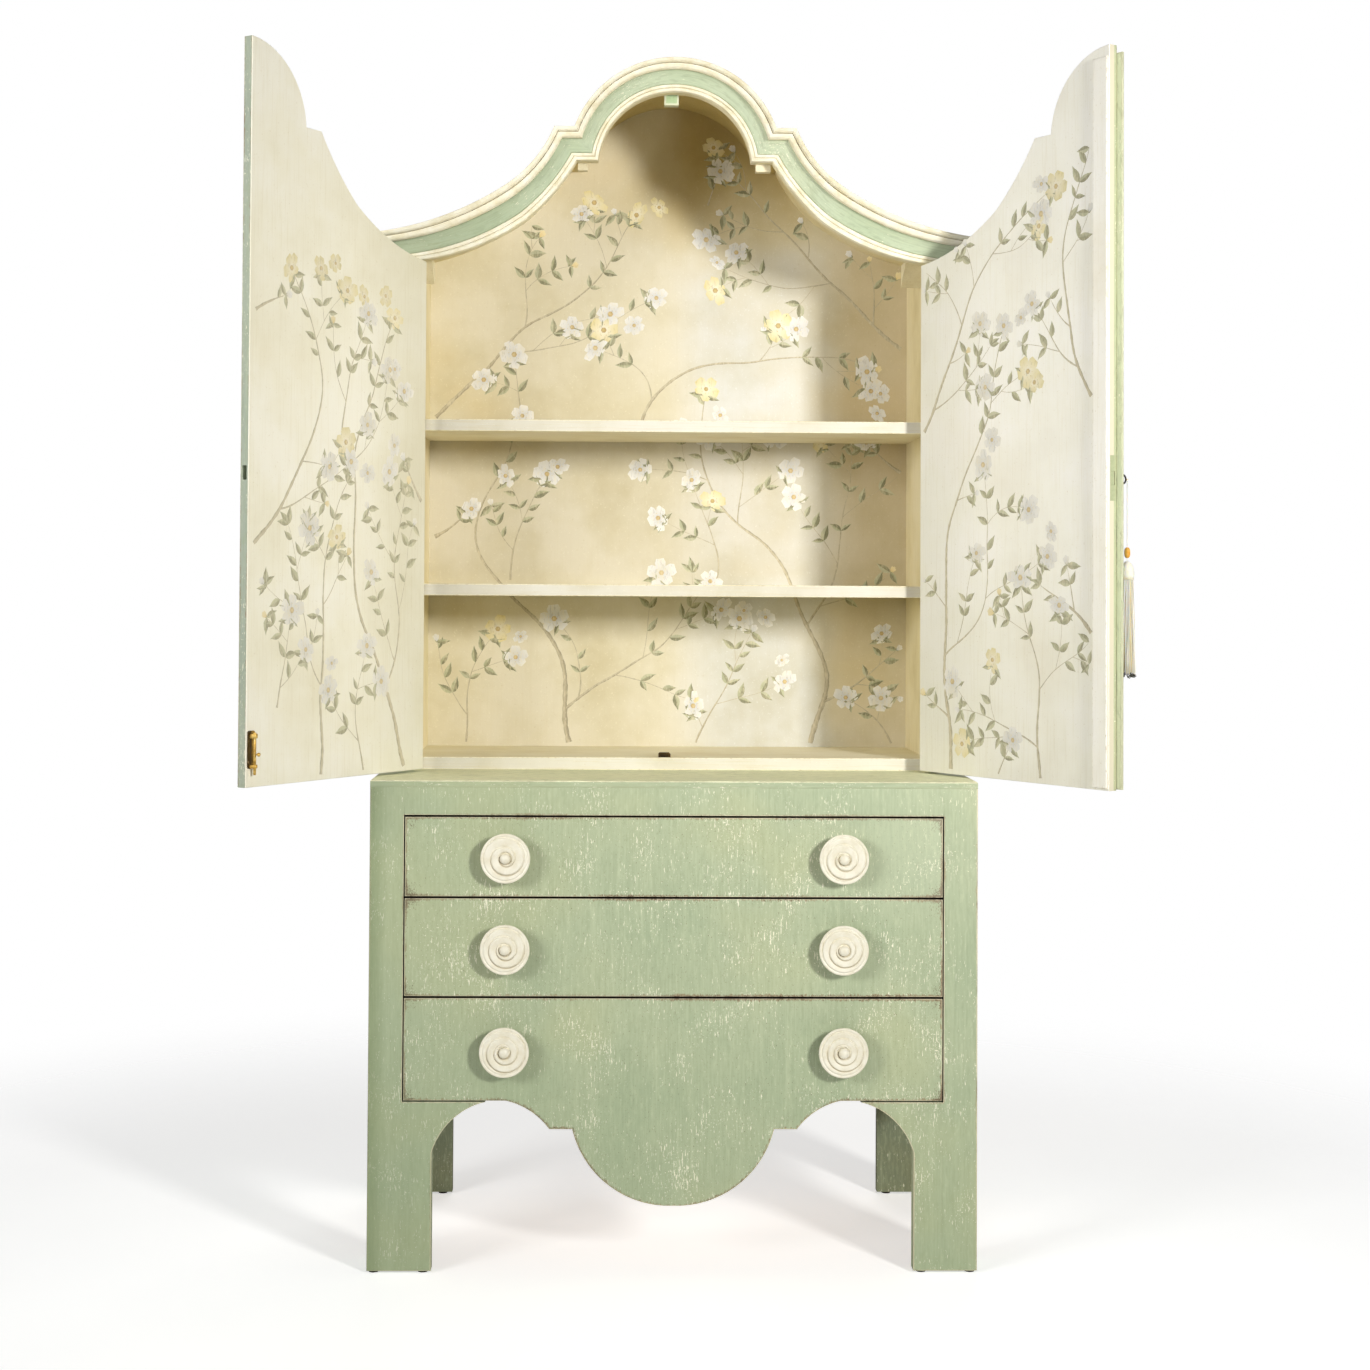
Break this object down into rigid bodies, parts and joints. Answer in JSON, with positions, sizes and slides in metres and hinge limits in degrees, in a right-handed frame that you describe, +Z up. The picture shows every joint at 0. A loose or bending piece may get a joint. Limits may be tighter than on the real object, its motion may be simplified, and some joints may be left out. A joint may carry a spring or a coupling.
{
  "type": "two-door cupboard on a chest of drawers",
  "caption": "Tall painted cupboard on a chest: stepped arched bonnet, two hinged doors over shelves, drawers with round knobs and a shaped apron on bracket feet.",
  "frame": {"origin": "on the floor, under the middle of the whole object as it stands with both doors open; the carcass is symmetric about X = 0", "axes": "+Z up, +X to the right of someone facing the doors, +Y from the front to the back"},
  "size_m": [1.5853, 0.7791, 2.281],
  "materials": {
    "sage_paint": "brushed sage-green paint, rubbed",
    "olive_paint": "brushed olive-green paint, rubbed",
    "cream_interior": "aged cream paint",
    "cream_moulding": "cream paint on mouldings",
    "pine": "unpainted pine",
    "ivory_knob": "carved, cream, waxed",
    "aged_brass": "tarnished brass",
    "dark_iron": "blackened iron",
    "glide_black": "dark glide",
    "tassel_silk": "cream thread",
    "amber_bead": "amber-coloured bead"
  },
  "bodies": {
    "left_door": {"left_door_board": "sage_paint", "left_door_leaves": "aged_brass", "bolt_plate": "aged_brass"},
    "right_door": {"right_door_board": "sage_paint", "right_door_leaves": "aged_brass", "door_astragal": "sage_paint", "lock_strip": "cream_interior", "lock_case": "dark_iron", "escutcheon": "dark_iron"},
    "flush_bolt": {"bolt_rod": "aged_brass"},
    "lock_bolt": {"lock_bolt": "aged_brass"},
    "key": {"door_key": "dark_iron"},
    "tassel": {"tassel_cord": "tassel_silk", "tassel_bead": "amber_bead", "tassel_head": "tassel_silk", "tassel_skirt": "tassel_silk"},
    "top_drawer": {"top_drawer_back": "pine", "top_drawer_bottom": "pine", "top_drawer_front": "sage_paint", "top_drawer_knobs": "ivory_knob", "top_drawer_sides": "pine"},
    "middle_drawer": {"middle_drawer_back": "pine", "middle_drawer_bottom": "pine", "middle_drawer_front": "sage_paint", "middle_drawer_knobs": "ivory_knob", "middle_drawer_sides": "pine"},
    "bottom_drawer": {"bottom_drawer_back": "pine", "bottom_drawer_bottom": "pine", "bottom_drawer_front": "sage_paint", "bottom_drawer_knobs": "ivory_knob", "bottom_drawer_sides": "pine"},
    "carcass": {"arch_board": "sage_paint", "arched_roof_board": "sage_paint", "back_legs": "sage_paint", "bolt_strike": "aged_brass", "case_back": "cream_interior", "case_bottom": "cream_interior", "case_hinge_leaves": "aged_brass", "case_left_side": "sage_paint", "case_right_side": "sage_paint", "case_screws": "cream_interior", "chest_back": "pine", "chest_left_side": "sage_paint", "chest_right_side": "sage_paint", "chest_top": "olive_paint", "cornice_crown": "cream_moulding", "cornice_frieze": "cream_moulding", "drawer_runners": "pine", "foot_glides": "glide_black", "front_left_bracket": "sage_paint", "front_left_post": "sage_paint", "front_right_bracket": "sage_paint", "front_right_post": "sage_paint", "hinge_pins": "dark_iron", "left_roof_board": "sage_paint", "lower_shelf": "cream_interior", "right_roof_board": "sage_paint", "stop_blocks": "cream_interior", "top_rail": "sage_paint", "upper_shelf": "cream_interior"}
  },
  "joints": [
    {"name": "left_door_hinge", "type": "hinge", "parent": "carcass", "child": "left_door", "pos_m": [-0.4995, 0.044, 1.4], "axis": [0, 0, -1], "range_deg": [-123.2, 10]},
    {"name": "right_door_hinge", "type": "hinge", "parent": "carcass", "child": "right_door", "pos_m": [0.4995, 0.044, 1.4], "axis": [0, 0, 1], "range_deg": [-123.2, 10]},
    {"name": "top_drawer_slide", "type": "slide", "parent": "carcass", "child": "top_drawer", "axis": [0, -1, 0], "range_m": [0, 0.38]},
    {"name": "middle_drawer_slide", "type": "slide", "parent": "carcass", "child": "middle_drawer", "axis": [0, -1, 0], "range_m": [0, 0.38]},
    {"name": "bottom_drawer_slide", "type": "slide", "parent": "carcass", "child": "bottom_drawer", "axis": [0, -1, 0], "range_m": [0, 0.38]},
    {"name": "flush_bolt_slide", "type": "slide", "parent": "left_door", "child": "flush_bolt", "axis": [0, 0, -1], "range_m": [0, 0.014]},
    {"name": "key_turn", "type": "hinge", "parent": "right_door", "child": "key", "pos_m": [0.76233, -0.35765, 1.453], "axis": [0.8368, 0.5476, 0], "range_deg": [0, 90]},
    {"name": "lock_bolt_slide", "type": "slide", "parent": "right_door", "child": "lock_bolt", "axis": [0.5476, -0.8368, 0], "range_m": [0, 0.011]},
    {"name": "tassel_swing", "type": "hinge", "parent": "right_door", "child": "tassel", "pos_m": [0.79747, -0.33465, 1.453], "axis": [0.8368, 0.5476, 0], "range_deg": [-12, 12]}
  ],
  "couplings": [
    {"joint": "key_turn", "follows": "lock_bolt_slide", "rad_per_m": 142.7}
  ]
}
